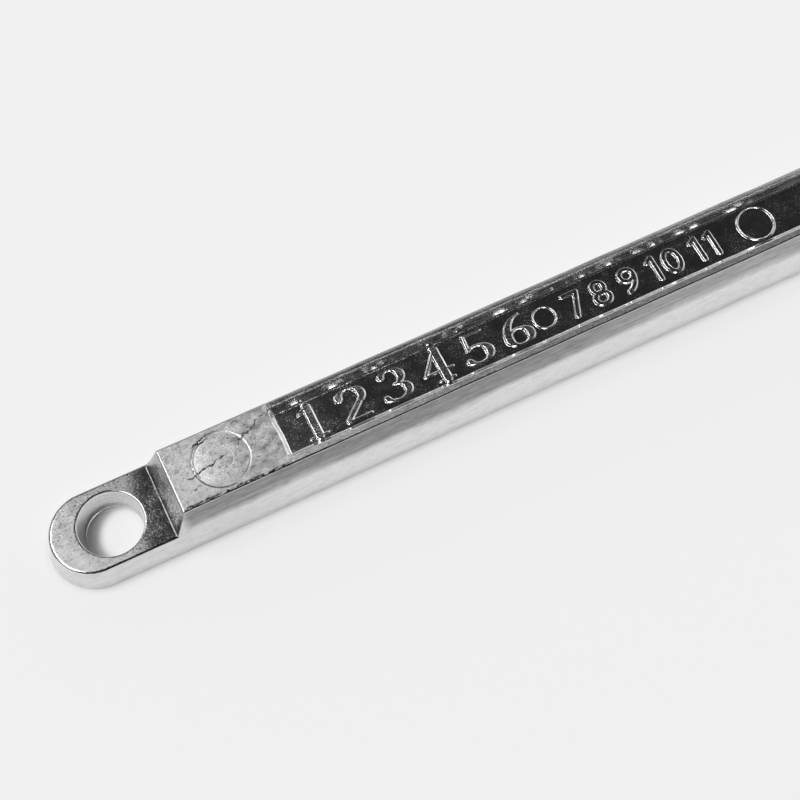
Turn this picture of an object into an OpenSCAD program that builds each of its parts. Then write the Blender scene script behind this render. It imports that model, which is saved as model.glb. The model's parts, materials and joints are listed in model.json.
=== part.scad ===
// Cast bar of soft solder: a drafted bar with a sunk lettering channel and a hanging eye.
// It was poured into an open mould and lies on its wide poured face.

/* [Bar] */
// Length from the eye's rounded end to the plain end, at the base
bar_length = 330; // [260:5:420]
// Width of the base, the widest place
base_w = 20; // [18:0.5:24]
// Height of the bar
bar_h = 14; // [12:0.5:16]
// Draft of the mould's walls, in degrees from upright
draft = 11; // [6:0.5:13]
// Rounding of the upper edges
edge_r = 0.5; // [0.2:0.1:0.8]

/* [Hanging eye] */
// Height of the lug that carries the eye
lug_h = 6.5; // [5:0.5:8]
// Diameter of the eye at its straight lower land
eye_d = 12.2; // [9:0.1:12.8]
// Height of the straight land, below the taper
eye_land = 2; // [1.5:0.1:3]
// Taper of the eye above the land, in degrees from upright
eye_taper = 10; // [4:1:12]
// Metal between the land and the bar's rounded end
end_wall = 7.8; // [5:0.2:10]
// Metal between the land and the foot of the ramp
foot_wall = 4.8; // [3:0.2:9]
// Length of the ramp from the lug up to the pad
ramp_run = 3; // [2:0.2:6]

/* [Pads and channel] */
// Length of the plain pad beside the eye
eye_pad = 23.5; // [12:0.5:40]
// Length of the plain pad at the other end
end_pad = 23.5; // [12:0.5:40]
// Width of the rail on each side of the channel
rail_w = 1.6; // [1:0.1:2.5]
// Depth of the channel
channel_depth = 1.5; // [0.8:0.1:2.5]
// Slope of the channel's walls, in degrees from upright
channel_draft = 31; // [10:1:40]
// Fillet along the channel's floor
floor_r = 0.3; // [0.1:0.1:0.5]

/* [Hidden] */
$fn = 64;
ARC_STEPS = 5;
CUT = 1; // how far a cutter passes the face that it opens

// Places along the bar, with the base centred on the origin
end_x = bar_length / 2;
round_x = -end_x + base_w / 2; // centre of the rounded end
eye_x = -end_x + end_wall + eye_d / 2;
foot_x = eye_x + eye_d / 2 + foot_wall;
pad_x = foot_x + ramp_run;
channel_x0 = pad_x + eye_pad;
channel_x1 = end_x - bar_h * tan(draft) - end_pad;

ramp_slope = atan(ramp_run / (bar_h - lug_h)); // from upright
top_half = base_w / 2 - bar_h * tan(draft);
channel_half = top_half - rail_w;

// Points of a round edge of radius r that ends a level face at height h, where a wall
// sloping by "slope" degrees from upright would meet that face at y. The arc runs from
// the wall to the face.
function round_edge(y, h, slope, r) =
    let (cy = y - r * tan((90 - slope) / 2), cz = h - r)
    [for (i = [0:ARC_STEPS])
        let (a = slope + (90 - slope) * i / ARC_STEPS) [cy + r * cos(a), cz + r * sin(a)]];

// The same for the fillet between a floor at height h and a wall that rises outwards
function round_floor(y, h, slope, r) =
    let (cy = y - r * tan((90 - slope) / 2), cz = h + r)
    [for (i = [0:ARC_STEPS])
        let (a = -90 + (90 - slope) * i / ARC_STEPS) [cy + r * cos(a), cz + r * sin(a)]];

function mirrored(pts) = [for (i = [len(pts) - 1:-1:0]) [-pts[i][0], pts[i][1]]];

// Half of the drafted section, from the base's edge up and over the round edge
function half_wall(h) =
    concat([[base_w / 2, 0]], round_edge(base_w / 2 - h * tan(draft), h, draft, edge_r));

module section(h) {
    wall = half_wall(h);
    polygon(concat(wall, mirrored(wall)));
}

// A flat outline in y and z, carried along x from x0 to x1
module along_x(x0, x1) {
    translate([x0, 0, 0]) rotate([90, 0, 90]) linear_extrude(x1 - x0) children();
}

// A flat outline in x and z, carried across the bar
module across(width) {
    translate([0, width / 2, 0]) rotate([90, 0, 0]) linear_extrude(width) children();
}

// The lug: the low drafted section, carried straight and then turned round the end
module lug() {
    along_x(round_x, pad_x) section(lug_h);
    translate([round_x, 0, 0]) rotate([0, 0, 90])
        rotate_extrude(angle = 180) polygon(concat([[0, 0]], half_wall(lug_h), [[0, lug_h]]));
}

// Side view of the full-height bar: the ramp, the level top and the drafted plain end
module side_view() {
    ramp_top = [for (p = mirrored(round_edge(-pad_x, bar_h, ramp_slope, edge_r))) p];
    end_top = round_edge(end_x - bar_h * tan(draft), bar_h, draft, edge_r);
    base_x = foot_x - lug_h * tan(ramp_slope);
    polygon(concat([[base_x, 0], [end_x, 0]], end_top, ramp_top));
}

module full_bar() {
    intersection() {
        along_x(foot_x - bar_h, end_x + CUT) section(bar_h);
        across(base_w + 2 * CUT) side_view();
    }
}

// The channel: a trough with sloping sides, cut off by sloping ends
module channel() {
    rise = CUT * tan(channel_draft);
    fall = channel_depth * tan(channel_draft);
    floor_z = bar_h - channel_depth;
    wall = concat(round_floor(channel_half - fall, floor_z, channel_draft, floor_r),
                  [[channel_half + rise, bar_h + CUT]]);
    intersection() {
        along_x(channel_x0 - CUT, channel_x1 + CUT) polygon(concat(wall, mirrored(wall)));
        across(base_w)
            polygon([[channel_x0 + fall, floor_z], [channel_x1 - fall, floor_z],
                     [channel_x1 + rise, bar_h + CUT], [channel_x0 - rise, bar_h + CUT]]);
    }
}

// The eye: a straight land with a taper above it
module eye() {
    taper_h = lug_h - eye_land + CUT;
    translate([eye_x, 0, 0]) {
        translate([0, 0, -CUT]) cylinder(d = eye_d, h = eye_land + CUT);
        translate([0, 0, eye_land])
            cylinder(d1 = eye_d, d2 = eye_d + 2 * taper_h * tan(eye_taper), h = taper_h);
    }
}

module solder_bar() {
    color("silver")
        difference() {
            union() {
                lug();
                full_bar();
            }
            channel();
            eye();
        }
}

solder_bar();
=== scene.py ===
import json
import bpy
import bmesh
import numpy as np
from math import radians, tan, pi
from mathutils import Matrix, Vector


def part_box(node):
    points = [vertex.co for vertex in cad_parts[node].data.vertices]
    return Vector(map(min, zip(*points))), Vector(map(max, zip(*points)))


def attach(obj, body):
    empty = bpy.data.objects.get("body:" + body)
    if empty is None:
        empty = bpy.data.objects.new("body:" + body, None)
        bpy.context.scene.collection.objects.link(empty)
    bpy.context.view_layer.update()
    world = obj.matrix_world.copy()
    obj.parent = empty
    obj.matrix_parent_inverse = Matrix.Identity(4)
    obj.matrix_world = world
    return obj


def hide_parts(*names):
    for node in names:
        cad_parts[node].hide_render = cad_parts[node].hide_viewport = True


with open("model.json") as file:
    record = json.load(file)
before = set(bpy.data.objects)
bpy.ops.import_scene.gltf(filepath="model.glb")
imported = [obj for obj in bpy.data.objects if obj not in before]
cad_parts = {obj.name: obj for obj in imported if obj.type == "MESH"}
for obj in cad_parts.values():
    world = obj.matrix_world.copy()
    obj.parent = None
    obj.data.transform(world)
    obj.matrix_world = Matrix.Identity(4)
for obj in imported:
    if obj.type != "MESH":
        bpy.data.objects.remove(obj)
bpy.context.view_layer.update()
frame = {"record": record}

boxLow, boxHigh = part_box("solder_bar")
mounts = {m["name"]: m for m in frame["record"]["mounts"]}
mm = 0.001  # shapes are worked out in millimetres and turned to metres as a mesh is made
print("frame loaded")


def linearFromHex(code):  # an sRGB hex value as a linear colour
    srgb = np.array([int(code[i:i + 2], 16) for i in (1, 3, 5)]) / 255
    linear = np.where(srgb <= 0.04045, srgb / 12.92, ((srgb + 0.055) / 1.055) ** 2.4)
    return tuple(linear) + (1.0,)


def smooth(u):  # 3u^2 - 2u^3, which leaves 0 and reaches 1 level
    u = np.clip(u, 0, 1)
    return u * u * (3 - 2 * u)


def softRamp(u, soft):  # 0 below zero and u above it, joined by a parabola as wide as soft each way
    return np.where(u < -soft, 0, np.where(u > soft, u, (u + soft) ** 2 / (4 * soft)))


def softStep(u, footSoft, browSoft):  # a straight climb from 0 to 1 with a round foot and brow
    return softRamp(u, footSoft) - softRamp(u - 1, browSoft)


def spaced(start, stop, step):  # even places from start up to, but without, stop
    count = max(2, int(round((stop - start) / step)))
    return np.linspace(start, stop, count + 1)[:-1]


# The sum of plane waves whose lengths lie in a band, with seeded headings and phases. Its
# rms is 1, and stretch makes it that much longer in x.
def ripples(x, y, shortest, longest, seed, stretch=1, waves=20):
    rng = np.random.default_rng(seed)
    length = shortest * (longest / shortest) ** rng.random(waves)
    heading, phase = rng.random((2, waves)) * 2 * pi
    total = 0
    for i in range(waves):
        along = x / stretch * np.cos(heading[i]) + y * np.sin(heading[i])
        total = total + np.sin(2 * pi * along / length[i] + phase[i])
    return total / np.sqrt(waves / 2)


# A grid of points as a sheet: its points in a row, and the quads between them
def gridSheet(points, closed=False):  # closed joins the last column to the first
    rows, cols = points.shape[:2]
    r = np.arange(rows - 1)[:, None]
    c = np.arange(cols if closed else cols - 1)[None, :]
    after = (c + 1) % cols
    quads = np.stack(np.broadcast_arrays(r * cols + c, r * cols + after,
                                         (r + 1) * cols + after, (r + 1) * cols + c), -1)
    return points.reshape(-1, 3), quads.reshape(-1, 4).tolist()


# Triangles between two rows with unlike numbers of points, which both run towards +Y. The
# row whose next point comes first takes the next step.
def stitchSheet(rowA, rowB):
    order = np.argsort(np.concatenate([rowA[1:, 1], rowB[1:, 1]]), kind="stable")
    stepsA = order < len(rowA) - 1
    a = np.cumsum(stepsA) - stepsA
    b = np.cumsum(~stepsA) - ~stepsA + len(rowA)
    third = np.where(stepsA, a, b) + 1
    return np.concatenate([rowA, rowB]), np.stack([a, b, third], -1).tolist()


# Sheets joined into one closed mesh: shared borders are welded and the faces turned outwards
def meshFromSheets(name, sheets):
    points, faces, first = [], [], 0
    for sheetPoints, sheetFaces in sheets:
        points.append(sheetPoints)
        faces += [[corner + first for corner in face] for face in sheetFaces]
        first += len(sheetPoints)
    mesh = bpy.data.meshes.new(name)
    mesh.from_pydata(np.concatenate(points) * mm, [], faces)
    work = bmesh.new()
    work.from_mesh(mesh)
    bmesh.ops.remove_doubles(work, verts=work.verts, dist=0.004 * mm)
    bmesh.ops.dissolve_degenerate(work, edges=work.edges, dist=0.0005 * mm)
    bmesh.ops.recalc_face_normals(work, faces=work.faces)
    print(name, "open edges:", sum(not edge.is_manifold for edge in work.edges))
    work.to_mesh(mesh)
    work.free()
    mesh.polygons.foreach_set("use_smooth", np.ones(len(mesh.polygons), bool))
    return mesh


def pointsOf(mesh):  # places of a mesh's vertices in millimetres, and their normals
    places = np.empty(len(mesh.vertices) * 3)
    mesh.vertices.foreach_get("co", places)
    normals = np.empty(len(mesh.vertices) * 3, np.float32)
    mesh.vertex_normals.foreach_get("vector", normals)
    return places.reshape(-1, 3).T / mm, normals.reshape(-1, 3).T


def writeAttribute(mesh, name, values):
    attribute = mesh.attributes.new(name, "FLOAT", "POINT")
    attribute.data.foreach_set("value", values.astype(np.float32))


def addPiece(name, mesh, material):
    piece = bpy.data.objects.new(name, mesh)
    bpy.context.scene.collection.objects.link(piece)
    mesh.materials.append(material)
    return piece


def addNode(tree, kind, settings=None, links=None):  # sockets go by name or number
    node = tree.nodes.new(kind)
    for key, value in (settings or {}).items():
        if isinstance(key, str) and hasattr(node, key):
            setattr(node, key, value)
        else:
            node.inputs[key].default_value = value
    for key, source in (links or {}).items():
        tree.links.new(source, node.inputs[key])
    return node


bar = {
    "draft": 11,            # mould walls, degrees from upright
    "padEdge": 0.45,        # radius of the long upper edges on the pads
    "lugEdge": 0.55,
    "nearEdge": 0.35,       # and beside the channel
    "farEdge": 0.6,
    "farCrown": 20,         # degrees that the far rail has turned over where its round edge begins
    "cornerRound": 1.9,     # upright corners of the ramp and of the plain end
    "baseRound": 0.15,      # rim of the poured face
    "lugHeight": 6.5,
    "eyeTaper": 10,
    "eyeRimRound": 0.3,
    "eyeWall": 5.0,         # metal between the eye and the ramp's foot
    "rampRun": 2.8,
    "rampFillet": 0.22,
    "pad": 23.5,            # level length at each end of the channel
    "railWidth": 1.6,
    "channelDepth": 1.5,
    "channelDraft": 31,
    "sink": 0.25,           # hollow of the poured face, from shrinking as it set
    "wallUneven": 0.02,     # height of the slow waves in the cast faces
    "topUneven": 0.02,
    "acrossCount": 56,      # grid points from the middle line to a long edge
}

endX = boxHigh.x / mm
halfBase = boxHigh.y / mm
height = boxHigh.z / mm
eyeX = mounts["eye"]["pos_m"][0] / mm
eyeR = mounts["eye"]["dims"]["r_mm"]
eyeLand = mounts["eye"]["dims"]["length_mm"]
slope = tan(radians(bar["draft"]))
edgeReach = tan(radians((90 - bar["draft"]) / 2))  # from a sharp edge to its arc's end, for radius 1
topHalf = halfBase - height * slope
roundX = -endX + halfBase
footX = eyeX + eyeR + bar["eyeWall"]
padX = footX + bar["rampRun"]
endTopX = endX - height * slope
channelX0 = padX + bar["pad"]
channelX1 = endTopX - bar["pad"]
channelHalf = topHalf - bar["railWidth"]
channelFall = bar["channelDepth"] * tan(radians(bar["channelDraft"]))
floorZ = height - bar["channelDepth"]
floorHalf = channelHalf - channelFall
print("channel floor from", channelX0 + channelFall, "to", channelX1 - channelFall, "half", floorHalf)


# The outer wall as (distance from the middle, height): an arc at the poured rim, a drafted
# straight and an arc up to the top, which stops short of level by the crown's degrees. Arrays
# give a wall per station.
def outerWall(z, r, rBase, base, crown=0):
    z, r, rBase, base, crown = (np.asarray(v, float)[..., None] for v in (z, r, rBase, base, crown))
    low = np.radians(np.linspace(-90, bar["draft"], 4))
    high = np.radians(bar["draft"] + (90 - crown - bar["draft"]) * np.linspace(0, 1, 7))
    lowOut = base - rBase / edgeReach + rBase * np.cos(low)
    lowUp = rBase + rBase * np.sin(low)
    highOut = base - z * slope - r * edgeReach + r * np.cos(high)
    highUp = z - r + r * np.sin(high)
    share = np.linspace(0, 1, 9)[1:-1]
    wallOut = lowOut[..., -1:] + (highOut[..., :1] - lowOut[..., -1:]) * share
    wallUp = lowUp[..., -1:] + (highUp[..., :1] - lowUp[..., -1:]) * share
    return np.concatenate([lowOut, wallOut, highOut], -1), np.concatenate([lowUp, wallUp, highUp], -1)


# An arc that rounds the meeting of two lines at (x, z). The lines climb at angleIn and
# angleOut, and the arc turns from the one to the other.
def browArc(x, z, angleIn, angleOut, r):
    reach = r * np.tan((angleIn - angleOut) / 2)
    centreX = x - reach * np.cos(angleIn) + r * np.sin(angleIn)
    centreZ = z - reach * np.sin(angleIn) - r * np.cos(angleIn)
    around = np.linspace(angleIn, angleOut, 7)
    return centreX - r * np.sin(around), centreZ + r * np.cos(around)


# Stations along the bar with the height of its top line: fillet, ramp, brow, level, tip, end face
def sideView():
    rampSlope = (height - bar["lugHeight"]) / bar["rampRun"]
    browX, browZ = browArc(padX, height, np.arctan(rampSlope), 0, bar["padEdge"])
    tipX, tipZ = browArc(endTopX, height, 0, -np.arctan(1 / slope), bar["padEdge"])
    rampX = np.concatenate([spaced(footX - bar["rampFillet"], footX + 0.3, 0.045),
                            spaced(footX + 0.3, browX[0], 0.17)])
    rampZ = bar["lugHeight"] + rampSlope * softRamp(rampX - footX, bar["rampFillet"])
    levelX = np.concatenate([
        spaced(browX[-1] + 0.15, channelX0 - 0.5, 0.135),
        spaced(channelX0 - 0.5, channelX0 + 1.5, 0.1),
        spaced(channelX0 + 1.5, channelX1 - 1.5, 1.1),
        spaced(channelX1 - 1.5, channelX1 + 0.5, 0.12),
        spaced(channelX1 + 0.5, tipX[0], 0.5)])
    fallShare = np.linspace(0, 1, 12)[1:]
    fallX = tipX[-1] + (endX - tipX[-1]) * fallShare
    fallZ = tipZ[-1] * (1 - fallShare)
    x = np.concatenate([rampX, browX, levelX, tipX, fallX])
    z = np.concatenate([rampZ, browZ, np.full(levelX.shape, height), tipZ, fallZ])
    return x, z


# Places from the middle line out to the start of a long edge's arc: even on the pads, and
# crowded at the channel's wall along the channel
def acrossPlaces(x, reach):
    share = np.linspace(0, 1, bar["acrossCount"] + 1)
    crowdEnd = channelHalf + 0.35
    crowded = np.interp(share, [0, 1 / 3, 3 / 4], [0, floorHalf - 0.35, crowdEnd])
    crowded = crowded + (share - 3 / 4).clip(0) * 4 * (reach - crowdEnd)[:, None]
    weight = (smooth((x - channelX0 + 3) / 2.4) * smooth((channelX1 + 3 - x) / 2.4))[:, None]
    return share * reach[:, None] * (1 - weight) + crowded * weight


# The channel: a flat floor and walls that fall at the channel's draft, with round edges, times
# the same along the bar. Its edges wander a little, as a worn mould's do.
def channelDepth(x, y):
    wander = 0.035 * ripples(x, np.sign(y) * 40, 3, 14, 21)
    across = (channelHalf - np.abs(y) + wander) / channelFall
    along = (np.minimum(x - channelX0, channelX1 - x) + 0.03 * ripples(y, 0, 3, 9, 22)) / channelFall
    browSoft = np.where(y < 0, 0.3, 0.2)
    return bar["channelDepth"] * softStep(across, 0.1, browSoft) * softStep(along, 0.16, 0.1)


padMark = {
    "fromPadEdge": 11.1,    # ring's centre from the pad's edge at the ramp
    "radius": 5.85,
    "groove": 0.11,         # depth on the side towards the ramp
    "ridge": 0.12,          # height on the other side
    "halfWidth": 0.28,
    "cushion": 0.13,        # fall of the ringed disc from its middle to the ring
    "innerRadius": 2.5,
}


# A plain ring round a slightly cushioned disc, whose fall is the fourth power of the radius.
# The ring is pressed in on the side towards the ramp and stands up on the other, and a part
# of a smaller one stands inside it.
def padRelief(x, y):
    away = np.hypot(x - padX - padMark["fromPadEdge"], y)
    side = (x - padX - padMark["fromPadEdge"]) / (away + 0.1)
    ring = np.exp(-((away - padMark["radius"]) / padMark["halfWidth"]) ** 2)
    inner = np.exp(-((away - padMark["innerRadius"]) / padMark["halfWidth"]) ** 2)
    inside = 1 - smooth((away - padMark["radius"]) / (0.3 + 0.5 * smooth(side)))
    cushion = (away / padMark["radius"]).clip(0, 1) ** 4 * inside
    sunk = padMark["groove"] * smooth((0.35 - side) / 0.7) * ring
    raised = padMark["ridge"] * smooth((side + 0.2) / 0.7) * (ring + 0.5 * inner)
    return raised - sunk - padMark["cushion"] * cushion


# 1 where the skin is rubbed smoother: the side of the disc towards the ramp, in part, and the
# raised side of the ring and of the smaller one. There the pad's darker patches are left out as
# well, which paints the raised ring lighter, a painted highlight.
def rubbedAndHighlitShare(x, y):
    away = np.hypot(x - padX - padMark["fromPadEdge"], y)
    side = (x - padX - padMark["fromPadEdge"]) / (away + 0.1)
    disc = smooth((away / padMark["radius"] - 0.5) / 0.3) * smooth((-side - 0.45) / 0.4)
    disc = disc * (away < padMark["radius"])
    off = np.minimum(np.abs(away - padMark["radius"]), np.abs(away - padMark["innerRadius"]) + 0.1)
    raised = smooth((side + 0.2) / 0.7) * np.exp(-(off / padMark["halfWidth"] / 0.75) ** 2)
    return np.maximum(0.3 * disc, raised)


coldLaps = {                # where two fronts of metal met and didn't quite join
    "places": [             # start from the pad's outer edge and middle, heading in degrees, length
        (2.9, -1.2, 9, 10.2),
        (14.9, 1.5, 27, 9.0),
        (5.8, 4.9, 6, 5.4),
        (3.4, -4.1, 14, 2.8),
        (17.5, -2.4, -20, 1.8),
    ],
    "halfWidth": 0.095,
    "depth": 0.11,
    "wander": 0.2,
    "fromNearEdge": 0.65,   # of the long torn one
    "tornWander": 0.07,
}


# 1 along the bottom of a lap, falling away as a bell curve. A lap is a line that wanders, with
# a width that varies, and it fades at its ends.
def lapShare(x, y):
    fromEnd = np.minimum(x - padX, endTopX - x)
    share = 0
    laps = [(*place, coldLaps["wander"], 1) for place in coldLaps["places"]]
    gaps = smooth(1.1 + ripples(x, 0, 1, 5, 111))
    laps.append((0.6, coldLaps["fromNearEdge"] - topHalf, 0, bar["pad"] - 0.8, coldLaps["tornWander"], gaps))
    for i, (startX, startY, heading, length, wander, broken) in enumerate(laps):
        ahead, aside = np.cos(radians(heading)), np.sin(radians(heading))
        along = (fromEnd - startX) * ahead + (y - startY) * aside
        off = (y - startY) * ahead - (fromEnd - startX) * aside - wander * ripples(along, 0, 0.9, 7, 91 + i)
        width = coldLaps["halfWidth"] * (1 + 0.45 * ripples(along, 0, 0.7, 3, 101 + i)).clip(0.35)
        ends = smooth(along / 0.8) * smooth((length - along) / 1.5)
        share = np.maximum(share, ends * broken * np.exp(-(off / width) ** 2))
    return share


# Slow hollows of the level faces, which fade out towards the outer edges
def topUneven(x, y):
    flat = np.where((x > channelX0 - 1) & (x < channelX1 + 1), channelHalf - 0.1, topHalf - 0.55)
    fade = smooth((flat - np.abs(y)) / 0.8)
    fade = fade * smooth((x - padX - 0.3) / 1.2) * smooth((endTopX - 0.6 - x) / 1.5)
    waves = 0.6 * ripples(x, y, 4, 12, 31) + 0.35 * ripples(x, y, 1.4, 3, 32, 2)
    return fade * bar["topUneven"] * (waves - 2.3).clip(None, 0)


# The poured face: hollow along the middle and level at the rim
def poured(x, y):
    fromRim = halfBase - np.hypot(np.minimum(x - roundX, 0), y)
    rimFade = smooth(fromRim / 6) * smooth((endX - x) / 14)
    return rimFade * (bar["sink"] + 0.03 * ripples(x, y, 6, 30, 11))


def wallWaves(x, z):  # how far a cast wall falls back from its plane, gone at the foot and rim
    return bar["wallUneven"] * (1.6 + ripples(x, z * 2, 6, 26, 41)).clip(0, 4) * smooth(z / 3)


def barSheets():
    stationX, stationZ = sideView()
    x = stationX[:, None]
    rampShare = np.clip((stationZ - bar["lugHeight"]) / (height - bar["lugHeight"]), 0, 1)
    endShare = np.clip(stationZ / height, 0, 1)
    share = np.where(stationX < padX, rampShare, np.where(stationX > endTopX - 1, endShare, 1))
    bulge = np.sin(pi * share).clip(0, 1) ** 0.6
    rim = np.minimum(bar["baseRound"], 0.2 * stationZ + 1e-4)
    past = np.clip(stationX - (endX - bar["cornerRound"]), 0, bar["cornerRound"])
    base = halfBase - bar["cornerRound"] + np.sqrt(bar["cornerRound"] ** 2 - past ** 2)
    calm = smooth((x - footX) / 3) * smooth((endX - 2 - x) / 3)
    crownShare = smooth((stationX - channelX0) / 6) * smooth((channelX1 - stationX) / 6)
    edgePlaces = [footX, padX, channelX0 - 1, channelX0 + 9, channelX1 - 9, channelX1 + 1]
    sides, drops = [], []
    for sign, edgeName, crown in ((-1, "nearEdge", 0), (1, "farEdge", bar["farCrown"])):
        edge = np.interp(stationX, edgePlaces, [bar["lugEdge"], bar["padEdge"], bar["padEdge"],
                                                bar[edgeName], bar[edgeName], bar["padEdge"]])
        if sign < 0:  # the near edge is torn along the first pad
            onPad = smooth((stationX - padX) / 1.5) * smooth((channelX0 + 1 - stationX) / 2)
            torn = 0.12 * ripples(stationX, 0, 1.2, 5, 81) + 0.05 * ripples(stationX, 0, 0.6, 1.2, 82)
            edge = (edge + onPad * torn).clip(0.12)
        edge = np.minimum(edge + (bar["cornerRound"] - edge) * bulge, 0.35 * stationZ + 1e-4)
        turned = np.radians(crown * crownShare)
        crownWidth = topHalf - edge * (edgeReach - np.sin(turned)) - channelHalf
        drop = np.tan(turned) / 2 * crownWidth  # of the parabola from the channel's edge to the arc
        arcTop = stationZ - drop + edge * (1 - np.cos(turned))
        wallOut, wallUp = outerWall(arcTop, edge, rim, base, crown * crownShare)
        drops.append((drop / crownWidth ** 2)[:, None])
        wallOut = wallOut - calm * wallWaves(x, wallUp)
        sides.append(np.stack(np.broadcast_arrays(x, sign * wallOut, wallUp), -1))
    left, right = sides
    nearY, farY = acrossPlaces(stationX, -left[:, -1, 1]), acrossPlaces(stationX, right[:, -1, 1])
    topY = np.concatenate([-nearY[:, :0:-1], farY], 1)
    topZ = stationZ[:, None] - channelDepth(x, topY) + topUneven(x, topY)
    topZ = topZ - np.where(topY < 0, drops[0], drops[1]) * (np.abs(topY) - channelHalf).clip(0) ** 2
    topZ = topZ + padRelief(x, topY) * smooth((x - padX) / 2) * smooth((topHalf - 0.8 - np.abs(topY)) / 0.5)
    topZ = topZ - coldLaps["depth"] * lapShare(x, topY) * smooth((x - padX) / 0.8)
    topZ = np.minimum(topZ, stationZ[:, None])
    top = np.stack(np.broadcast_arrays(x, topY, topZ), -1)
    shell = np.concatenate([left, top[:, 1:-1], right[:, ::-1]], 1)

    footY = top[0, :, 1] * right[0, 0, 1] / right[0, -1, 1]
    foot = np.stack(np.broadcast_arrays(stationX[0], footY, 0.0), -1)
    foot[0], foot[-1] = left[0, 0], right[0, 0]
    foot[:, 2] = poured(foot[:, 0], foot[:, 1])
    underY = np.linspace(-1, 1, 15)[None, :] * right[1:-1, :1, 1]
    under = np.stack(np.broadcast_arrays(x[1:-1], underY, 0.0), -1)
    under[..., 2] = poured(under[..., 0], under[..., 1])
    sheets = [gridSheet(shell), gridSheet(under)]
    sheets += [stitchSheet(foot, under[0]), stitchSheet(under[-1], top[-1])]
    return sheets, left[0], right[0], top[0], foot


# The lug: its wall carried along both sides and round the end, level and poured faces ruled
# from the eye's rims out to it, and the eye's own turned wall between the rims
def lugSheets(left, right, topFoot, bottomFoot):
    wallOut, wallUp = outerWall(bar["lugHeight"], bar["lugEdge"], bar["baseRound"], halfBase)
    straight = spaced(-footX + bar["rampFillet"], -roundX, 0.6) * -1
    turn = np.radians(np.linspace(90, 270, 73))
    centreX = np.concatenate([straight, np.full(turn.shape, roundX), straight[::-1]])[:, None]
    side = np.ones(straight.shape)
    headX = np.concatenate([0 * side, np.cos(turn), 0 * side])[:, None]
    headY = np.concatenate([side, np.sin(turn), -side])[:, None]
    calm = smooth((footX - centreX - headX * halfBase) / 5)
    out = wallOut - calm * wallWaves(centreX * headX + headY * 30, wallUp)
    skirt = np.stack([centreX + headX * out, headY * out, np.broadcast_to(wallUp, out.shape)], -1)
    skirt[0], skirt[-1] = right, left
    upperRim = np.concatenate([skirt[:, -1], topFoot[1:-1]])  # round the lug, then along the ramp's foot
    lowerRim = np.concatenate([skirt[:, 0], bottomFoot[1:-1]])

    # half section of the eye: a round rim, the taper, the land and a thin lip at its foot
    taper = radians(bar["eyeTaper"])
    r = bar["eyeRimRound"]
    topR = eyeR + (bar["lugHeight"] - eyeLand) * tan(taper)
    rimAngle = np.linspace(0, pi / 2 - taper, 8)
    rimR = topR + r * tan((pi / 2 - taper) / 2) - r * np.sin(rimAngle)
    rimZ = bar["lugHeight"] - r + r * np.cos(rimAngle)
    landZ = np.array([eyeLand + 0.2, eyeLand, eyeLand - 0.2, 0.75, 0.5, 0.36, 0.26, 0.14, 0])
    landR = eyeR + np.array([0.2 * tan(taper) + 0.01, 0.015, 0, 0, -0.03, -0.1, -0.2, -0.24, -0.24])
    share = np.linspace(0, 1, 7)[1:-1]
    wallR = np.concatenate([rimR, rimR[-1] + (landR[0] - rimR[-1]) * share, landR])[:, None]
    wallZ = np.concatenate([rimZ, rimZ[-1] + (landZ[0] - rimZ[-1]) * share, landZ])[:, None]
    down = (wallZ[0] - wallZ) / (wallZ[0] - wallZ[-1])
    upperAngle, lowerAngle = (np.unwrap(np.arctan2(rim[:, 1], rim[:, 0] - eyeX))
                              for rim in (upperRim, lowerRim))
    angle = upperAngle * (1 - down) + lowerAngle * down
    eyeWall = np.stack([eyeX + wallR * np.cos(angle), wallR * np.sin(angle),
                        np.broadcast_to(wallZ, angle.shape)], -1)

    reach = np.linspace(0, 1, 17)[:, None, None]
    upper = eyeWall[0] * (1 - reach) + upperRim * reach
    fade = np.sin(pi * reach[..., 0])
    upper[..., 2] += fade * 0.006 * ripples(upper[..., 0], upper[..., 1], 3, 9, 51)
    lower = eyeWall[-1] * (1 - reach) + lowerRim * reach
    fromEye = np.hypot(lower[..., 0] - eyeX, lower[..., 1]) - eyeR
    lower[..., 2] = poured(lower[..., 0], lower[..., 1]) * smooth(fromEye / 3)
    return [gridSheet(skirt), gridSheet(upper, True), gridSheet(lower, True), gridSheet(eyeWall, True)]


# 1 on level faces, with the ring and the far rail's crown, and 0 on round edges
def levelShare(places, normals):
    x, y, z = places
    onPad = (np.minimum(x - padX - 0.35, channelX0 - 0.2 - x) > 0) & (np.abs(y) < topHalf - 0.55)
    onCrown = (y > channelHalf) & (x > channelX0) & (x < channelX1)
    return np.where(onPad | onCrown, smooth((normals[2] - 0.9) / 0.05), smooth((normals[2] - 0.98) / 0.015))


# 1 along two thin lines beside the channel: its worn far edge, and coarse grains in the corner
# at the foot of its far wall
def farLines(x, y):
    along = smooth((x - channelX0 - 0.2) / 0.8) * smooth((channelX1 - 0.2 - x) / 0.8)
    edge = np.exp(-((y - channelHalf - 0.17) / (0.2 + 0.04 * ripples(x, 0, 3, 12, 121)).clip(0.1)) ** 2)
    corner = np.exp(-((y - floorHalf + 0.24) / (0.2 + 0.03 * ripples(x, 0, 3, 12, 122)).clip(0.1)) ** 2)
    return along * np.maximum(edge, corner)


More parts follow.
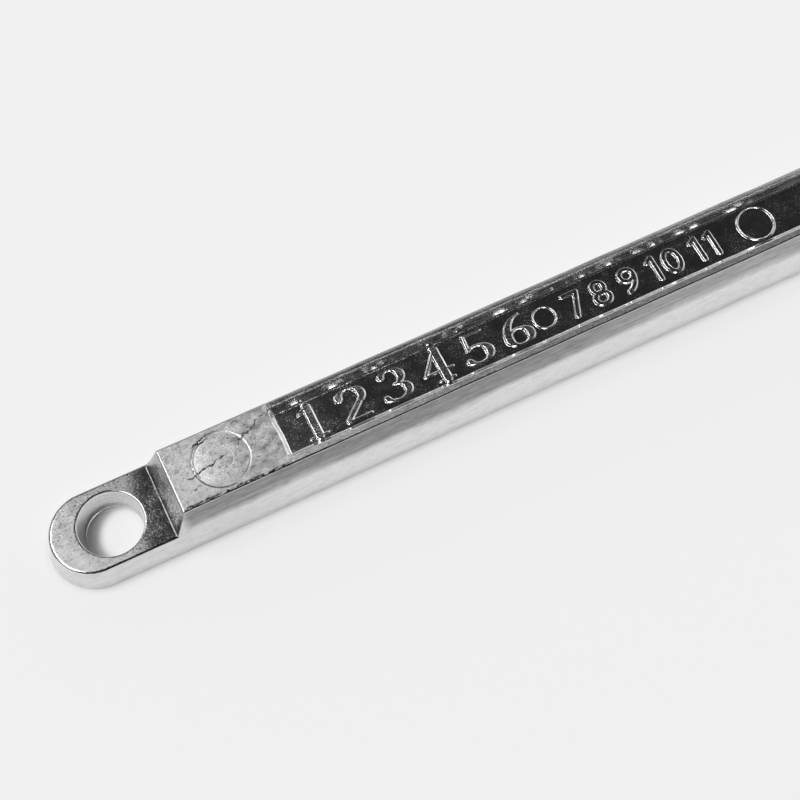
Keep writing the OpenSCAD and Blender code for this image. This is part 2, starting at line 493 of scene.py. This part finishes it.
skin = {
    # frost, from 0, mirror-like, to 1, frosted
    "floorFrost": 0.05,      # the channel's floor
    "floorEndFrost": 0.22,   # added at its ends
    "nearRailFrost": 1.0,
    "farRailFrost": 0.5,
    "farRailEndFrost": 0.3,  # added at its ends
    "farEdgeFrost": 0.3,     # where the far rail has turned over
    "farWallFrost": 0.45,    # the channel's far wall
    "lineFrost": 0.7,        # thin lines beside the channel
    "rampFrost": 0.06,       # the ramp's foot
    "rampUpFrost": 0.5,      # added up to its brow
    "rampNearFrost": 0.2,    # added towards its near side
    "lugFrost": 0.01,        # the lug beside the ramp
    "lugNearFrost": 0.13,    # added towards its near side
    "lugEndFrost": 0.8,      # added away from the ramp
    "eyeFrost": 0.35,
    "wallFrost": 0.3,
    # how strongly grains stand out, where 1 is as on the pads
    "grains": 0.04,          # everywhere
    "tornGrains": 0.8,       # added along the pads' near edge
    "railGrains": 0.2,
    "lugGrains": 0.04,
    "lineGrains": 0.4,
    # darker base colour, from 0 to 1: painted shade, and darker patches on the first pad
    "wallFilmFrom": 6.7,     # height in millimetres where the walls' painted dark reflection ends
    "wallFilmFade": 2.4,
    "rampFilm": 0.2,
    "rampFarFilm": 0.5,      # added towards its far side
    "lugWallFilm": 0.16,
    "farWallFilm": 0.7,
    "eyeFilm": 0.35,
    "farRailFilm": 0.8,
    "lugFilm": 0.62,
    "padFilm": 0.3,
    "padPatches": 0.2,       # how much that varies
    "edgeFilm": 0.9,
}


# How matt the cast skin is. Pads and lug chilled matt, the channel's floor and every round edge
# are mirror-like, and so is the lug where the ramp shaded it. The ramp, the walls, the eye and
# the channel's far wall are satin.
def frostOf(places, normals):
    x, y, z = places
    level = levelShare(places, normals)
    inwards = np.minimum(x - channelX0, channelX1 - x).clip(0)
    inChannel = smooth(inwards / 0.4)
    onFloor = inChannel * smooth((channelHalf - np.abs(y)) / 0.3)
    floor = skin["floorFrost"] + skin["floorEndFrost"] * np.exp(-inwards / 5)
    farRail = skin["farRailFrost"] + skin["farRailEndFrost"] * np.exp(-inwards / 6)
    rail = np.where(y < 0, skin["nearRailFrost"], farRail)
    frost = level * (1 - inChannel)
    frost = frost + level * (rail * inChannel * (1 - onFloor) + onFloor * floor)
    frost = frost + skin["farEdgeFrost"] * (1 - level) * inChannel * (y > channelHalf + 0.4)
    upFarWall = smooth((y - floorHalf + 0.1) / 0.3) * smooth((z - floorZ - 0.2) / 0.3)
    frost = frost + skin["farWallFrost"] * onFloor * upFarWall
    frost = frost + (skin["lineFrost"] - frost) * farLines(x, y)
    upRamp = smooth((x - footX - 0.3) / bar["rampRun"])
    ramp = skin["rampFrost"] + skin["rampUpFrost"] * upRamp + skin["rampNearFrost"] * smooth((2 - y) / 8)
    frost = frost + ramp * (1 - level) * (x > footX + 0.3) * (x < padX - 0.2)
    fromRamp = footX - x + 0.25 * y + 0.4 * ripples(x, y, 3, 8, 61)
    lug = skin["lugFrost"] + skin["lugNearFrost"] * smooth(-y / 5)
    lug = level * (lug + skin["lugEndFrost"] * smooth((fromRamp - 0.3) / 8.5))
    inEye = np.hypot(x - eyeX, y) < eyeR + bar["lugHeight"] * tan(radians(bar["eyeTaper"]))
    frost = np.where((x < footX) & (z > eyeLand), np.where(inEye, skin["eyeFrost"], lug), frost)
    upright = 1 - smooth((np.abs(normals[2]) - 0.25) / 0.2)
    frost = frost + skin["wallFrost"] * upright * (np.abs(y) > channelHalf + 0.2)
    return np.where(normals[2] < -0.5, 1, frost)


# How strongly its grains stand out: most on the pads, which have pores and wrinkles too, and are
# torn along their near edge
def grainyOf(places, normals):
    x, y, z = places
    level = levelShare(places, normals)
    onPad = smooth((np.maximum(channelX0 - x, x - channelX1) - 0.05) / 0.2) * (z > height - 1) * (x > footX)
    torn = skin["tornGrains"] * smooth((-y - topHalf + 1.3) / 0.6)
    onPad = onPad * (1 + torn) * (1 - rubbedAndHighlitShare(x, y))
    onRail = skin["railGrains"] * (np.abs(y) > channelHalf + 0.1) * (z > height - 1)
    onLug = skin["lugGrains"] * (x < footX) * (z > eyeLand + 1)
    grains = level * np.maximum(np.maximum(onPad, onRail), onLug)
    return skin["grains"] + grains + skin["lineGrains"] * farLines(x, y)


# Painted shade: a darker base colour where the metal is to look darker by what it reflects.
# Along the upper part of the walls it is a painted dark reflection, which ends in a soft and
# slightly wavy line. Less lies on the ramp, the lug and in the eye, and the first pad's inner end
# is darker in patches. It is dense on the far rail, along the far edges and on the channel's far wall.
def paintedShadeOf(places, normals):
    x, y, z = places
    # painted dark reflection along the upper part of the walls
    edge = skin["wallFilmFrom"] + 0.25 * ripples(x, np.sign(y) * 30, 20, 70, 71)
    edge = edge + 0.06 * ripples(x, y, 2, 7, 72)
    upright = 1 - smooth((np.abs(normals[2]) - 0.3) / 0.2)
    onWall = smooth((z - edge) / skin["wallFilmFade"]) * upright * smooth((x - padX + 2) / 3)
    onWall = onWall * (1 - 0.2 * smooth((x - padX - 70) / 60))
    # painted shade on the ramp, darker towards its far side
    ramp = (x > footX - 0.1) * (x < padX) * (np.abs(normals[0]) > 0.3) * (z > bar["lugHeight"] - 0.2)
    onRamp = ramp * (skin["rampFilm"] + skin["rampFarFilm"] * smooth((y + 6) / 9))
    outside = np.hypot(x - eyeX, y) > eyeR + 2
    # painted shade on the lug's walls
    lugWall = skin["lugWallFilm"] * upright * smooth((padX + 40 - x) / 40) * outside
    inChannel = (x > channelX0 + 0.5) * (x < channelX1) * (y < channelHalf)
    # painted shade on the channel's far wall
    farWall = skin["farWallFilm"] * inChannel * (y > floorHalf) * (normals[2] < 0.9)
    # painted shade on the wall inside the eye
    inEye = skin["eyeFilm"] * (~outside) * (z < bar["lugHeight"] - 0.3) * (np.abs(normals[2]) < 0.5)
    # painted shade on the far rail
    alongRail = smooth((x - channelX0) / 3) * smooth((channelX1 - x) / 3)
    onRail = skin["farRailFilm"] * alongRail * (y > channelHalf + 0.2) * (z > height - 1)
    # painted shade on the lug's level top
    onLug = skin["lugFilm"] * (x < footX) * (z > eyeLand + 1) * (normals[2] > 0.9)
    # the first pad is darker in patches towards its inner end
    patches = (skin["padFilm"] + skin["padPatches"] * ripples(x, y, 1.8, 6, 131)).clip(0)
    onPad = patches * smooth((x - padX - 7) / 12) * (x < channelX0) * (z > height - 1)
    # painted highlight: the pad's darker patches are left out along the raised ring
    onPad = onPad * (1 - rubbedAndHighlitShare(x, y))
    # painted shade along the round edges turned to the far side and to the lug's end
    turned = smooth((0.99 - normals[2]) / 0.03) * (normals[2] > 0.35) * (z > bar["lugHeight"] - 0.6)
    outwards = (normals[1] > 0.12) | ((normals[0] < -0.25) & (y > -2))
    onEdge = skin["edgeFilm"] * turned * outwards * outside * np.where(x < channelX0, 1, 0.5 * (y > 0))
    onEdge = onEdge * ((np.abs(normals[0]) < 0.6) | (x < roundX))
    layers = (onWall, lugWall, onRamp, farWall, inEye, onRail, onLug, onPad, onEdge)
    return np.max(np.stack(np.broadcast_arrays(*layers)), 0).clip(0, 1) * (1 - 0.5 * farLines(x, y))


def makeCasting(material):
    sheets, left, right, topFoot, bottomFoot = barSheets()
    sheets += lugSheets(left, right, topFoot, bottomFoot)
    mesh = meshFromSheets("casting", sheets)
    places, normals = pointsOf(mesh)
    x, y, z = places
    onPads = (x > padX) & (z > height - 1) & ((x < channelX0) | (x > channelX1))
    writeAttribute(mesh, "frost", frostOf(places, normals))
    writeAttribute(mesh, "film", paintedShadeOf(places, normals))
    writeAttribute(mesh, "grainy", grainyOf(places, normals))
    writeAttribute(mesh, "lap", onPads * lapShare(x, y))
    return addPiece("casting", mesh, material)


marks = {
    "relief": 0.42,         # height over the channel's floor
    "step": 0.075,          # grid of the raised strokes
    "apron": 0.22,          # how far a mark's mesh reaches past its strokes
    "apronFall": 0.08,      # and how far it has dipped under the floor there
    "root": 0.4,            # depth of its closed underside
    "flankFrost": 0.3,
    # cap height, half widths of level and upright strokes, gap in widths of a square cell, and
    # each number's distance from the eye
    "large": {"cap": 8.0, "thin": 0.38, "thick": 1.06, "stretch": 1.22, "flank": 0.36, "frost": 0.62,
              "gap": 0.15, "serifs": True,
              "numbers": (("1", 44.5), ("2", 53.9), ("3", 63.3), ("4", 72.7), ("5", 82.1), ("6", 91.5))},
    "small": {"cap": 6.1, "thin": 0.62, "thick": 0.70, "stretch": 1.0, "flank": 0.3, "frost": 0.06,
              "gap": 0.25, "serifs": False,
              "numbers": (("7", 105.0), ("8", 111.4), ("9", 118.2), ("10", 127.0), ("11", 136.6))},
    "ring": {"flank": 0.3, "frost": 0.3,
             "places": ((98.0, 2.45, 0.25), (149.5, 4.0, 0.32))},  # distance, radius, half width
}


# A straight stroke on a cell of height 1, as points with the weight they are drawn with
def line(x0, y0, x1, y1, weight=1.0):
    share = np.linspace(0, 1, 90)[:, None]
    return np.array([x0, y0, weight]) * (1 - share) + np.array([x1, y1, weight]) * share


def arc(centreX, centreY, radiusX, radiusY, start, stop):  # part of an ellipse, angles in degrees
    around = np.radians(np.linspace(start, stop, 160))
    x, y = centreX + radiusX * np.cos(around), centreY + radiusY * np.sin(around)
    return np.stack([x, y, np.ones(x.shape)], -1)


numerals = {  # width of the cell, and the middle lines of the strokes
    "0": (0.68, [arc(0.34, 0.5, 0.27, 0.43, 0, 360)]),
    "1": (0.46, [line(0.27, 0.93, 0.27, 0.06), line(0.27, 0.93, 0.07, 0.80), line(0.08, 0.05, 0.46, 0.05)]),
    "plain 1": (0.34, [line(0.27, 0.93, 0.27, 0.06), line(0.27, 0.93, 0.07, 0.80)]),
    "2": (0.66, [arc(0.32, 0.68, 0.25, 0.25, 165, -35), line(0.525, 0.54, 0.08, 0.07),
                 line(0.08, 0.06, 0.6, 0.06)]),
    "3": (0.62, [arc(0.29, 0.71, 0.22, 0.22, 150, -80), arc(0.28, 0.29, 0.27, 0.22, 85, -155)]),
    "4": (0.7, [line(0.46, 0.94, 0.05, 0.32, 0.25), line(0.05, 0.32, 0.68, 0.32),
                line(0.46, 0.94, 0.46, 0.06), line(0.30, 0.05, 0.62, 0.05)]),
    "5": (0.64, [line(0.15, 0.93, 0.56, 0.93), line(0.15, 0.93, 0.12, 0.53, 0.2),
                 arc(0.29, 0.32, 0.27, 0.25, 128, -150)]),
    "6": (0.66, [arc(0.33, 0.3, 0.25, 0.23, 0, 360), arc(0.6, 0.3, 0.52, 0.63, 100, 180)]),
    "7": (0.62, [line(0.06, 0.93, 0.58, 0.93), line(0.58, 0.93, 0.24, 0.06)]),
    "8": (0.66, [arc(0.32, 0.7, 0.21, 0.23, 0, 360), arc(0.32, 0.28, 0.26, 0.22, 0, 360)]),
    "9": (0.66, [arc(0.33, 0.7, 0.25, 0.23, 0, 360), arc(0.06, 0.7, 0.52, 0.63, -80, 0)]),
}


# Strokes as (points, half width): a broad pen, thin where it runs level and thick where it
# runs upright, as far as the stroke's weight says
def penned(paths, size):
    strokes = []
    for path in paths:
        heading = np.gradient(path[:, :2], axis=0)
        upright = np.abs(heading[:, 1]) / np.hypot(*heading.T)
        width = size["thin"] + (size["thick"] - size["thin"]) * path[:, 2] * upright ** 2.5
        strokes.append((path[:, :2] * [size["cap"] * size["stretch"], size["cap"]], width))
    return strokes


# One raised mark: over a grid, the height is the relief times smooth(depth into the nearest
# stroke / flank). Only cells that stand over the floor are kept, and a lower copy of them and
# a wall round them, sunk in the metal, close the shape.
def raisedMark(strokes, flank, left, bottom):
    low = np.min([path.min(0) - width.max() for path, width in strokes], 0) - 0.3
    high = np.max([path.max(0) + width.max() for path, width in strokes], 0) + 0.3
    x, y = np.meshgrid(*(np.arange(low[i], high[i], marks["step"]) for i in (0, 1)), indexing="ij")
    outside = np.full(x.shape, 9.0)
    for path, width in strokes:
        away = np.hypot(x[..., None] - path[:, 0], y[..., None] - path[:, 1]) - width
        outside = np.minimum(outside, away.min(-1))
    x, y = x + left, y + bottom
    rise = marks["relief"] * smooth(-outside / flank) - marks["apronFall"] * smooth(outside / 0.25)
    z = floorZ + topUneven(x, y) + rise
    near = outside < marks["apron"]
    kept = near[:-1, :-1] & near[1:, :-1] & near[1:, 1:] & near[:-1, 1:]
    rows, cols = x.shape
    index = np.arange(rows * cols).reshape(rows, cols)
    lower = index + rows * cols
    quads = [np.stack([index[:-1, :-1], index[1:, :-1], index[1:, 1:], index[:-1, 1:]], -1)[kept]]
    quads.append(np.stack([lower[:-1, :-1], lower[:-1, 1:], lower[1:, 1:], lower[1:, :-1]], -1)[kept])
    padded = np.pad(kept, 1)
    beside = ((-1, 0, (0, 1), (0, 0)), (1, 0, (1, 0), (1, 1)),  # steps to the cell beside, and the
              (0, -1, (0, 0), (1, 0)), (0, 1, (1, 1), (0, 1)))  # two corners that it shares
    for di, dj, a, b in beside:
        i, j = np.nonzero(kept & ~padded[1 + di:rows + di, 1 + dj:cols + dj])
        first, second = index[i + a[0], j + a[1]], index[i + b[0], j + b[1]]
        quads.append(np.stack([first, second, second + rows * cols, first + rows * cols], -1))
    points = np.concatenate([np.stack([x, y, z], -1).reshape(-1, 3),
                             np.stack([x, y, np.full(x.shape, floorZ - marks["root"])], -1).reshape(-1, 3)])
    quads = np.concatenate(quads)
    used, compact = np.unique(quads, return_inverse=True)
    return points[used], compact.reshape(quads.shape).tolist()


def numeralSheets(text, size, centre):  # digits of one number, side by side about its centre
    cells = [numerals["plain 1" if digit == "1" and not size["serifs"] else digit] for digit in text]
    across = size["cap"] * size["stretch"]
    gap = size["gap"] * across
    width = sum(cell[0] for cell in cells) * across + gap * (len(cells) - 1)
    sheets, left = [], centre - width / 2
    for cell, paths in cells:
        sheets.append(raisedMark(penned(paths, size), size["flank"], left, -size["cap"] / 2))
        left += cell * across + gap
    return sheets


def ringSheet(centre, radius, halfWidth):
    circle = arc(0, 0, radius, radius, 0, 360)
    return raisedMark([(circle[:, :2], np.full(len(circle), halfWidth))], marks["ring"]["flank"], centre, 0)


def makeMarks(material):
    sheets = {}
    for name, size in (("numerals_large", marks["large"]), ("numerals_small", marks["small"])):
        sheets[name] = sum((numeralSheets(text, size, eyeX + away) for text, away in size["numbers"]), [])
    sheets["rings"] = [ringSheet(eyeX + away, radius, halfWidth)
                       for away, radius, halfWidth in marks["ring"]["places"]]
    frosts = (marks["large"]["frost"], marks["small"]["frost"], marks["ring"]["frost"])
    pieces = []
    for name, frost in zip(sheets, frosts):
        mesh = meshFromSheets(name, sheets[name])
        raised = (pointsOf(mesh)[0][2] - floorZ) / marks["relief"]
        onTop = smooth(raised * 5 - 3.9)  # over the last fifth of the height
        writeAttribute(mesh, "frost", marks["flankFrost"] + (frost - marks["flankFrost"]) * onTop)
        writeAttribute(mesh, "grainy", np.full(len(mesh.vertices), skin["grains"]))
        pieces.append(addPiece(name, mesh, material))
        print(name, len(mesh.polygons), "faces")
    return pieces


finish = {
    "metal": "#ebebeb",      # clean tin-lead
    "tarnish": "#858585",    # pores, wrinkles and the painted shade
    "crack": "#404040",      # bottoms of the cold laps
    "smoothRough": 0.09,     # channel floor and round edges
    "frostRough": 0.35,      # pads and lug
    "grain": 0.36,           # millimetres across one chilled grain
    "grainHeight": 0.26,     # millimetres, on frosted faces
}


# Tin-lead solder cast in a metal mould: bright where it set against hot, smooth steel, and
# frosted by fine grains, pores and hairline cold laps where it chilled
def makeSolder():
    material = bpy.data.materials.new("castTinLeadSolder")
    material.use_nodes = True
    tree = material.node_tree
    shader = tree.nodes["Principled BSDF"]
    shader.inputs["Metallic"].default_value = 1
    place = addNode(tree, "ShaderNodeTexCoord").outputs["Object"]
    frost, film, grainy, lap = (addNode(tree, "ShaderNodeAttribute", {"attribute_name": name}).outputs["Fac"]
                                for name in ("frost", "film", "grainy", "lap"))
    lengthwise, streaked, askew = (  # how long a pattern is drawn, and how far it is turned
        addNode(tree, "ShaderNodeMapping", {"Scale": (scale, 1, 1), "Rotation": (0, 0, radians(turn))},
                {"Vector": place}).outputs["Vector"] for scale, turn in ((0.03, 0), (0.4, 0), (0.7, 20)))

    # name: size in millimetres, detail, roughness, distortion, space
    patterns = {
        "grain": (finish["grain"], 3, 0.62, 0, askew),
        "cloud": (4.5, 3, 0.6, 0, place),       # slow changes of the mould's heat
        "blotch": (0.9, 6, 0.8, 0, place),
        "pit": (0.8, 2, 0.7, 0.6, place),
        "fleck": (0.26, 2, 0.6, 0, place),      # real ones are finer: drawn as coarse as shows
        "flow": (0.7, 3, 0.6, 0, lengthwise),   # lines under a millimetre wide, centimetres long
        "stain": (1.1, 5, 0.65, 0.4, streaked),
        "wrinkle": (1.6, 4, 0.62, 0, askew),    # of the chilled skin
    }
    for name, (size, detail, roughness, distortion, space) in patterns.items():
        patterns[name] = addNode(tree, "ShaderNodeTexNoise", {"Scale": 1 / (size * mm), "Detail": detail,
                                 "Roughness": roughness, "Distortion": distortion},
                                 {"Vector": space}).outputs["Fac"]
    offMiddle = addNode(tree, "ShaderNodeMath", {"operation": "SUBTRACT", 1: 0.5},
                        {0: patterns["wrinkle"]}).outputs[0]
    offMiddle = addNode(tree, "ShaderNodeMath", {"operation": "ABSOLUTE"}, {0: offMiddle}).outputs[0]

    # name: source, its value where the share begins, where it ends, and what the share runs to
    shares = {
        "pitted": (grainy, 0.5, 1, 0, 1),
        "pore": (patterns["pit"], 0.57, 0.66, 0, 1),
        "fleck": (patterns["fleck"], 0.66, 0.76, 0, 1),
        "blotch": (patterns["blotch"], 0.38, 0.62, 0, 1),
        "haze": (patterns["cloud"], 0.44, 0.66, 0, 0.08),
        "hazed": (frost, 0, 0.6, 1, 0.1),
        "uneven": (patterns["cloud"], 0.35, 0.65, 0.6, 1.2),
        "speckle": (patterns["grain"], 0.38, 0.62, 0.78, 1.22),
        "mottle": (patterns["fleck"], 0.46, 0.69, 0, 0.125),
        "streak": (patterns["flow"], 0.3, 0.7, 0.75, 1),
        "stain": (patterns["stain"], 0.45, 0.75, 0, 0.2),
        "hairline": (offMiddle, 0.02, 0.004, 0, 1),
        "rough": (frost, 0, 1, finish["smoothRough"], finish["frostRough"]),
    }
    for name, (source, start, stop, low, high) in shares.items():
        shares[name] = addNode(tree, "ShaderNodeMapRange", {"From Min": start, "From Max": stop,
                               "To Min": low, "To Max": high}, {"Value": source}).outputs["Result"]

    # pores, wrinkles and blotches are on the pitted skin only
    pore, wrinkle, blotch = (addNode(tree, "ShaderNodeMath", {"operation": "MULTIPLY"},
                                     {0: shares[name], 1: shares["pitted"]}).outputs[0]
                             for name in ("pore", "hairline", "blotch"))
    wrinkle = addNode(tree, "ShaderNodeMath", {"operation": "MULTIPLY"},
                      {0: wrinkle, 1: shares["blotch"]}).outputs[0]

    # height in millimetres: each part times its own height, added up
    high = addNode(tree, "ShaderNodeMath", {"operation": "MULTIPLY", 1: finish["grainHeight"]},
                   {0: grainy}).outputs[0]
    for factor in (shares["uneven"], patterns["grain"]):
        high = addNode(tree, "ShaderNodeMath", {"operation": "MULTIPLY"}, {0: high, 1: factor}).outputs[0]
    for part, tall in ((patterns["flow"], 0.012), (blotch, 0.05), (pore, -0.05), (shares["fleck"], 0.003),
                       (wrinkle, -0.05)):
        high = addNode(tree, "ShaderNodeMath", {"operation": "MULTIPLY_ADD", 1: tall},
                       {0: part, 2: high}).outputs[0]
    bump = addNode(tree, "ShaderNodeBump", {"Strength": 1, "Distance": mm}, {"Height": high})
    tree.links.new(bump.outputs["Normal"], shader.inputs["Normal"])

    # roughness: from the frost, with clouds and flecks of haze on smooth skin, and a little finer
    # and coarser by the grain
    rough = shares["haze"]
    for operation, name in (("ADD", "mottle"), ("MULTIPLY", "hazed"), ("ADD", "rough"),
                            ("MULTIPLY", "speckle")):
        rough = addNode(tree, "ShaderNodeMath", {"operation": operation},
                        {0: rough, 1: shares[name]}).outputs[0]
    tree.links.new(rough, shader.inputs["Roughness"])

    # darker in pores, wrinkles, blotches, flecks and stains, and under the painted shade, which is
    # streaked along the bar
    tarnishAndShadeShare = addNode(tree, "ShaderNodeMath", {"operation": "MULTIPLY_ADD"},
                   {0: film, 1: shares["streak"], 2: shares["stain"]}).outputs[0]
    for part, amount in ((blotch, 0.25), (wrinkle, 0.7), (pore, 0.25), (shares["fleck"], 0.3)):
        tarnishAndShadeShare = addNode(tree, "ShaderNodeMath", {"operation": "MULTIPLY_ADD", 1: amount},
                       {0: part, 2: tarnishAndShadeShare}).outputs[0]
    tarnishAndShadeShare = addNode(tree, "ShaderNodeMath", {"operation": "MINIMUM", 1: 1}, {0: tarnishAndShadeShare}).outputs[0]
    # the base colour: clean metal, darkened by real tarnish and by painted shade together
    skin = addNode(tree, "ShaderNodeMix", {"data_type": "RGBA", 6: linearFromHex(finish["metal"]),
                   7: linearFromHex(finish["tarnish"])}, {0: tarnishAndShadeShare}).outputs[2]
    colour = addNode(tree, "ShaderNodeMix", {"data_type": "RGBA", 7: linearFromHex(finish["crack"])},
                     {0: lap, 6: skin}).outputs[2]
    tree.links.new(colour, shader.inputs["Base Color"])
    return material


solder = makeSolder()
casting = makeCasting(solder)
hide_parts("solder_bar")
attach(casting, "root")
print("casting made:", len(casting.data.polygons), "faces")
for piece in makeMarks(solder):
    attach(piece, "root")
print("raised marks made")


studio = {
    "floorColour": "#fafafa",
    "floorHalf": 2.0,
    "floorGlow": 0.72,                # share of the pale table that is plain, without shadow
    "corner": 1.6,                    # millimetres from the metal over which that share falls
    "cornerShare": 0.32,              # to this much of itself in the tightest corner
    "eyeShade": (2.7, -1.3),          # where light from the left moves the eye's bright spot
    "eyeShare": 0.15,                 # what is left of the plain share beside that spot
    "walls": 0.52,                    # pale walls round the table, at their mean
    "wallsTilt": (0.36, 0.31, 0),     # and how they brighten towards this side
    "ceiling": 0.018,                 # dark above, as smooth level faces show it
    "ceilingAxis": (-0.15, -0.12, 1),
    "ceilingEdge": (70, 56),          # degrees from its axis where walls give way to ceiling
    "boxEdge": 3,                     # degrees, each way from a box's half angle
    "boxes": [                        # soft boxes: direction, half angle in degrees, strength
        ((-0.345, 0.385, 0.855), 9, 10.8),
        ((-0.50, 0.03, 0.87), 10, 9.4),
        ((0.86, 0.44, 0.24), 11, 1.0),
    ],
    "plain": "#efefef",               # behind everything, for the eye alone
}


# A level sheet that is partly lit and partly plain to the eye and to the metal's gloss. The
# plain share falls in the corner at the metal's foot and inside the eye, so that the shadows
# there stay.
def makeFloor():
    half = studio["floorHalf"]
    mesh = bpy.data.meshes.new("floor")
    mesh.from_pydata([(-half, -half, 0), (half, -half, 0), (half, half, 0), (-half, half, 0)], [],
                     [(0, 1, 2, 3)])
    material = bpy.data.materials.new("paleTable")
    material.use_nodes = True
    tree = material.node_tree
    shader = tree.nodes["Principled BSDF"]
    shader.inputs["Base Color"].default_value = linearFromHex(studio["floorColour"])
    shader.inputs["Roughness"].default_value = 0.6
    shader.inputs["Specular IOR Level"].default_value = 0.2
    glow = addNode(tree, "ShaderNodeEmission", {"Color": linearFromHex(studio["floorColour"]), "Strength": 1})
    path = addNode(tree, "ShaderNodeLightPath")
    seen = addNode(tree, "ShaderNodeMath", {"operation": "MAXIMUM"},
                   {0: path.outputs["Is Camera Ray"], 1: path.outputs["Is Glossy Ray"]}).outputs[0]
    share = addNode(tree, "ShaderNodeMath", {"operation": "MULTIPLY", 1: studio["floorGlow"]},
                    {0: seen}).outputs[0]
    corner = addNode(tree, "ShaderNodeAmbientOcclusion", {"samples": 8, "Distance": studio["corner"] * mm})
    place = addNode(tree, "ShaderNodeTexCoord").outputs["Object"]
    middle = np.array((eyeX, 0, 0))
    fromEye, fromSpot = (addNode(tree, "ShaderNodeVectorMath", {"operation": "DISTANCE",
                                 1: (middle + aside) * mm}, {0: place}).outputs["Value"]
                         for aside in ((0, 0, 0), (*studio["eyeShade"], 0)))
    inEye = addNode(tree, "ShaderNodeMapRange", {"From Min": (eyeR + 1.5) * mm,
                    "From Max": (eyeR + 0.5) * mm}, {"Value": fromEye}).outputs["Result"]
    shaded = addNode(tree, "ShaderNodeMapRange", {"interpolation_type": "SMOOTHSTEP",
                     "From Min": (eyeR - 1.2) * mm, "From Max": (eyeR + 0.9) * mm,
                     "To Max": studio["eyeShare"] - 1}, {"Value": fromSpot}).outputs["Result"]
    unshaded = addNode(tree, "ShaderNodeMath", {"operation": "MULTIPLY_ADD", 2: 1},
                       {0: shaded, 1: inEye}).outputs[0]
    uncornered = addNode(tree, "ShaderNodeMapRange", {"From Min": 0.5, "From Max": 1,
                         "To Min": studio["cornerShare"]}, {"Value": corner.outputs["AO"]}).outputs["Result"]
    for left in (unshaded, uncornered):
        share = addNode(tree, "ShaderNodeMath", {"operation": "MULTIPLY"}, {0: share, 1: left}).outputs[0]
    mix = addNode(tree, "ShaderNodeMixShader", links={0: share, 1: shader.outputs[0], 2: glow.outputs[0]})
    tree.links.new(mix.outputs[0], tree.nodes["Material Output"].inputs["Surface"])
    addPiece("floor", mesh, material)


# The room round the table. The share of a round patch with a soft edge comes from the cosine of
# the angle to the patch's middle: the ceiling is laid over the walls, and the boxes are added.
def makeSky():
    world = bpy.data.worlds.new("studioTent")
    bpy.context.scene.world = world
    world.use_nodes = True
    tree = world.node_tree
    tree.nodes.clear()
    heading = addNode(tree, "ShaderNodeTexCoord").outputs["Generated"]
    lean = addNode(tree, "ShaderNodeVectorMath", {"operation": "DOT_PRODUCT", 1: studio["wallsTilt"]},
                   {0: heading})
    walls = addNode(tree, "ShaderNodeMath", {"operation": "ADD", 1: studio["walls"]},
                    {0: lean.outputs["Value"]}).outputs[0]
    light = addNode(tree, "ShaderNodeMath", {"operation": "MAXIMUM", 1: 0.05}, {0: walls}).outputs[0]
    patches = [(studio["ceilingAxis"], *studio["ceilingEdge"], studio["ceiling"])]
    patches += [(direction, halfAngle + studio["boxEdge"], halfAngle - studio["boxEdge"], strength)
                for direction, halfAngle, strength in studio["boxes"]]
    for i, (direction, outer, inner, strength) in enumerate(patches):
        axis = np.array(direction) / np.linalg.norm(direction)
        toAxis = addNode(tree, "ShaderNodeVectorMath", {"operation": "DOT_PRODUCT", 1: axis}, {0: heading})
        share = addNode(tree, "ShaderNodeMapRange", {"interpolation_type": "SMOOTHSTEP",
                        "From Min": np.cos(radians(outer)), "From Max": np.cos(radians(inner)),
                        "To Max": strength}, {"Value": toAxis.outputs["Value"]})
        if i == 0:
            tree.links.new(light, share.inputs["To Min"])
            light = share.outputs["Result"]
        else:
            light = addNode(tree, "ShaderNodeMath", {"operation": "ADD"},
                            {0: light, 1: share.outputs["Result"]}).outputs[0]
    sky = addNode(tree, "ShaderNodeBackground", {"Color": (1, 1, 1, 1)}, {"Strength": light})
    plain = addNode(tree, "ShaderNodeBackground", {"Color": linearFromHex(studio["plain"])})
    path = addNode(tree, "ShaderNodeLightPath")
    mix = addNode(tree, "ShaderNodeMixShader", links={0: path.outputs["Is Camera Ray"],
                  1: sky.outputs[0], 2: plain.outputs[0]})
    addNode(tree, "ShaderNodeOutputWorld", links={"Surface": mix.outputs[0]})


view = {
    "fromEye": (10.4, -110.5, 282.4),  # millimetres from the eye's centre on the floor
    "elevation": 66.2,
    "heading": -26.1,                  # of the view's upward direction, from +Y
    "lens": 65.35,
}


def makeCamera():
    data = bpy.data.cameras.new("camera")
    data.lens = view["lens"]
    data.sensor_width = 36
    data.clip_start = 0.01
    camera = bpy.data.objects.new("camera", data)
    camera.location = (np.array(view["fromEye"]) + (eyeX, 0, 0)) * mm
    camera.rotation_euler = (radians(90 - view["elevation"]), 0, radians(view["heading"]))
    bpy.context.scene.collection.objects.link(camera)
    bpy.context.scene.camera = camera


makeFloor()
makeSky()
makeCamera()
bpy.context.scene.view_settings.view_transform = "Standard"
print("floor, light and camera set")
